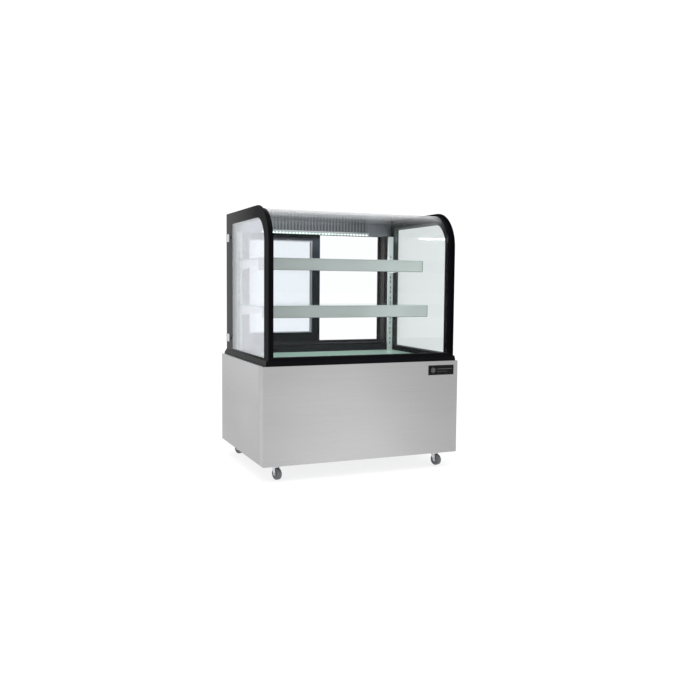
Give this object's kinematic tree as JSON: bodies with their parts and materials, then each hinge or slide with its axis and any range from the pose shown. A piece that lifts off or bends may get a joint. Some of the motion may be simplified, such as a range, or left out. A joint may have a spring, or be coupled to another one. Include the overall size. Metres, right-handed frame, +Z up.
{
  "type": "bakery display case",
  "caption": "Refrigerated bakery display case with a curved glass front, glass sides, glass shelves, sliding rear doors, a lamp, a steel base with a refrigeration unit, and casters",
  "frame": {"origin": "on the floor under the centre of the case", "axes": "+X to the right of a customer who faces the case, +Y towards the rear doors, +Z up; the curved glass faces -Y"},
  "size_m": [0.914, 0.6684, 1.149],
  "materials": {
    "side_frame_left": "black painted frame, satin",
    "side_frame_right": "black painted frame, satin",
    "side_glass_left": "clear double glazing with a slight green tint",
    "side_glass_right": "clear double glazing with a slight green tint",
    "glass_spacers": "mill finish",
    "front_glass": "clear curved glass",
    "edge_trims": "black",
    "case_moulding": "black, semi-gloss",
    "header": "dark brushed",
    "led_channel": "satin",
    "led_chips": "white, lit",
    "rear_posts": "dark grey satin",
    "door_tracks": "dark grey",
    "air_grille": "dark satin",
    "shelf_standards": "white satin",
    "shelf_glass_upper": "clear with green edges",
    "shelf_glass_lower": "clear with green edges",
    "shelf_fascia_upper": "satin anodised",
    "shelf_fascia_lower": "satin anodised",
    "shelf_brackets": "white satin",
    "deck": "glossy pale green",
    "glass_clamps": "polished",
    "clamp_screws": "black",
    "door_inner_frame": "anthracite satin",
    "door_inner_glass": "clear double glazing",
    "door_outer_frame": "anthracite satin",
    "door_outer_glass": "clear double glazing",
    "inner_roller_left": "white nylon",
    "inner_roller_right": "white nylon",
    "outer_roller_left": "white nylon",
    "outer_roller_right": "white nylon",
    "front_panel": "fine horizontal brushing",
    "side_panel_left": "fine horizontal brushing",
    "side_panel_right": "fine horizontal brushing",
    "rear_grille": "satin",
    "chassis": "zinc grey",
    "insulated_well": "white foam with a smooth skin",
    "badge": "black gloss",
    "evaporator": "mill finish",
    "evaporator_fan": "dark",
    "compressor": "black enamel",
    "condenser": "mill finish",
    "condenser_fan": "satin",
    "refrigerant_pipes": "bare copper",
    "control_panel": "fine grain",
    "up_key": "grey",
    "down_key": "grey",
    "power_switch": "green",
    "light_switch": "black",
    "cable_gland": "black nylon",
    "panel_screws": "bright",
    "caster_plates": "zinc plated",
    "fork_front_left": "zinc plated",
    "fork_front_right": "zinc plated",
    "fork_rear_left": "zinc plated",
    "fork_rear_right": "zinc plated",
    "wheel_front_left": "grey",
    "wheel_front_right": "grey",
    "wheel_rear_left": "grey",
    "wheel_rear_right": "grey"
  },
  "bodies": {
    "case": {"side_frame_left": "side_frame_left", "side_frame_right": "side_frame_right", "side_glass_left": "side_glass_left", "side_glass_right": "side_glass_right", "glass_spacers": "glass_spacers", "front_glass": "front_glass", "edge_trims": "edge_trims", "case_moulding": "case_moulding", "header": "header", "led_channel": "led_channel", "led_chips": "led_chips", "rear_posts": "rear_posts", "door_tracks": "door_tracks", "air_grille": "air_grille", "shelf_standards": "shelf_standards", "shelf_glass_upper": "shelf_glass_upper", "shelf_glass_lower": "shelf_glass_lower", "shelf_fascia_upper": "shelf_fascia_upper", "shelf_fascia_lower": "shelf_fascia_lower", "shelf_brackets": "shelf_brackets", "deck": "deck", "glass_clamps": "glass_clamps", "clamp_screws": "clamp_screws", "front_panel": "front_panel", "side_panel_left": "side_panel_left", "side_panel_right": "side_panel_right", "rear_grille": "rear_grille", "chassis": "chassis", "insulated_well": "insulated_well", "badge": "badge", "evaporator": "evaporator", "compressor": "compressor", "condenser": "condenser", "refrigerant_pipes": "refrigerant_pipes", "control_panel": "control_panel", "cable_gland": "cable_gland", "panel_screws": "panel_screws", "caster_plates": "caster_plates"},
    "door_inner": {"door_inner_frame": "door_inner_frame", "door_inner_glass": "door_inner_glass"},
    "door_outer": {"door_outer_frame": "door_outer_frame", "door_outer_glass": "door_outer_glass"},
    "inner_roller_left": {"inner_roller_left": "inner_roller_left"},
    "inner_roller_right": {"inner_roller_right": "inner_roller_right"},
    "outer_roller_left": {"outer_roller_left": "outer_roller_left"},
    "outer_roller_right": {"outer_roller_right": "outer_roller_right"},
    "evaporator_fan": {"evaporator_fan": "evaporator_fan"},
    "condenser_fan": {"condenser_fan": "condenser_fan"},
    "up_key": {"up_key": "up_key"},
    "down_key": {"down_key": "down_key"},
    "power_switch": {"power_switch": "power_switch"},
    "light_switch": {"light_switch": "light_switch"},
    "fork_front_left": {"fork_front_left": "fork_front_left"},
    "fork_front_right": {"fork_front_right": "fork_front_right"},
    "fork_rear_left": {"fork_rear_left": "fork_rear_left"},
    "fork_rear_right": {"fork_rear_right": "fork_rear_right"},
    "wheel_front_left": {"wheel_front_left": "wheel_front_left"},
    "wheel_front_right": {"wheel_front_right": "wheel_front_right"},
    "wheel_rear_left": {"wheel_rear_left": "wheel_rear_left"},
    "wheel_rear_right": {"wheel_rear_right": "wheel_rear_right"}
  },
  "joints": [
    {"name": "door_inner_slide", "type": "slide", "parent": "case", "child": "door_inner", "axis": [1, 0, 0], "range_m": [0, 0.344]},
    {"name": "door_outer_slide", "type": "slide", "parent": "case", "child": "door_outer", "axis": [1, 0, 0], "range_m": [0, 0.344]},
    {"name": "inner_roller_left_spin", "type": "hinge", "parent": "door_inner", "child": "inner_roller_left", "pos_m": [-0.32, 0.292, 0.54005], "axis": [0, 1, 0], "range_deg": [-5, 2200]},
    {"name": "inner_roller_right_spin", "type": "hinge", "parent": "door_inner", "child": "inner_roller_right", "pos_m": [-0.026, 0.292, 0.54005], "axis": [0, 1, 0], "range_deg": [-5, 2200]},
    {"name": "outer_roller_left_spin", "type": "hinge", "parent": "door_outer", "child": "outer_roller_left", "pos_m": [-0.32, 0.311, 0.54005], "axis": [0, 1, 0], "range_deg": [-5, 2200]},
    {"name": "outer_roller_right_spin", "type": "hinge", "parent": "door_outer", "child": "outer_roller_right", "pos_m": [-0.026, 0.311, 0.54005], "axis": [0, 1, 0], "range_deg": [-5, 2200]},
    {"name": "swivel_front_left", "type": "hinge", "parent": "case", "child": "fork_front_left", "pos_m": [-0.382, -0.265, 0.057], "axis": [0, 0, 1], "continuous": true},
    {"name": "swivel_front_right", "type": "hinge", "parent": "case", "child": "fork_front_right", "pos_m": [0.382, -0.265, 0.057], "axis": [0, 0, 1], "continuous": true},
    {"name": "swivel_rear_left", "type": "hinge", "parent": "case", "child": "fork_rear_left", "pos_m": [-0.382, 0.265, 0.057], "axis": [0, 0, 1], "continuous": true},
    {"name": "swivel_rear_right", "type": "hinge", "parent": "case", "child": "fork_rear_right", "pos_m": [0.382, 0.265, 0.057], "axis": [0, 0, 1], "continuous": true},
    {"name": "roll_front_left", "type": "hinge", "parent": "fork_front_left", "child": "wheel_front_left", "pos_m": [-0.37829, -0.27641, 0.025], "axis": [0.9511, 0.309, 0], "continuous": true},
    {"name": "roll_front_right", "type": "hinge", "parent": "fork_front_right", "child": "wheel_front_right", "pos_m": [0.3861, -0.27628, 0.025], "axis": [0.9397, 0.342, 0], "continuous": true},
    {"name": "roll_rear_left", "type": "hinge", "parent": "fork_rear_left", "child": "wheel_rear_left", "pos_m": [-0.38707, 0.27588, 0.025], "axis": [-0.9063, -0.4226, 0], "continuous": true},
    {"name": "roll_rear_right", "type": "hinge", "parent": "fork_rear_right", "child": "wheel_rear_right", "pos_m": [0.38688, 0.25404, 0.025], "axis": [0.9135, 0.4067, 0], "continuous": true},
    {"name": "evaporator_fan_spin", "type": "hinge", "parent": "case", "child": "evaporator_fan", "pos_m": [0.29, 0.06, 0.3909], "axis": [0, 0, 1], "continuous": true},
    {"name": "condenser_fan_spin", "type": "hinge", "parent": "case", "child": "condenser_fan", "pos_m": [0.09, 0.2225, 0.196], "axis": [0, 1, 0], "continuous": true},
    {"name": "up_key_press", "type": "slide", "parent": "case", "child": "up_key", "axis": [0, -1, 0], "range_m": [0, 0.0015], "stiffness_N_per_m": 400},
    {"name": "down_key_press", "type": "slide", "parent": "case", "child": "down_key", "axis": [0, -1, 0], "range_m": [0, 0.0015], "stiffness_N_per_m": 400},
    {"name": "power_switch_rock", "type": "hinge", "parent": "case", "child": "power_switch", "pos_m": [-0.18, 0.3253, 0.3075], "axis": [1, 0, 0], "range_deg": [-16, 0]},
    {"name": "light_switch_rock", "type": "hinge", "parent": "case", "child": "light_switch", "pos_m": [-0.156, 0.3253, 0.3075], "axis": [1, 0, 0], "range_deg": [-16, 0]}
  ],
  "couplings": [
    {"joint": "inner_roller_left_spin", "follows": "door_inner_slide", "rad_per_m": 111.11},
    {"joint": "inner_roller_right_spin", "follows": "door_inner_slide", "rad_per_m": 111.11},
    {"joint": "outer_roller_left_spin", "follows": "door_outer_slide", "rad_per_m": 111.11},
    {"joint": "outer_roller_right_spin", "follows": "door_outer_slide", "rad_per_m": 111.11}
  ]
}
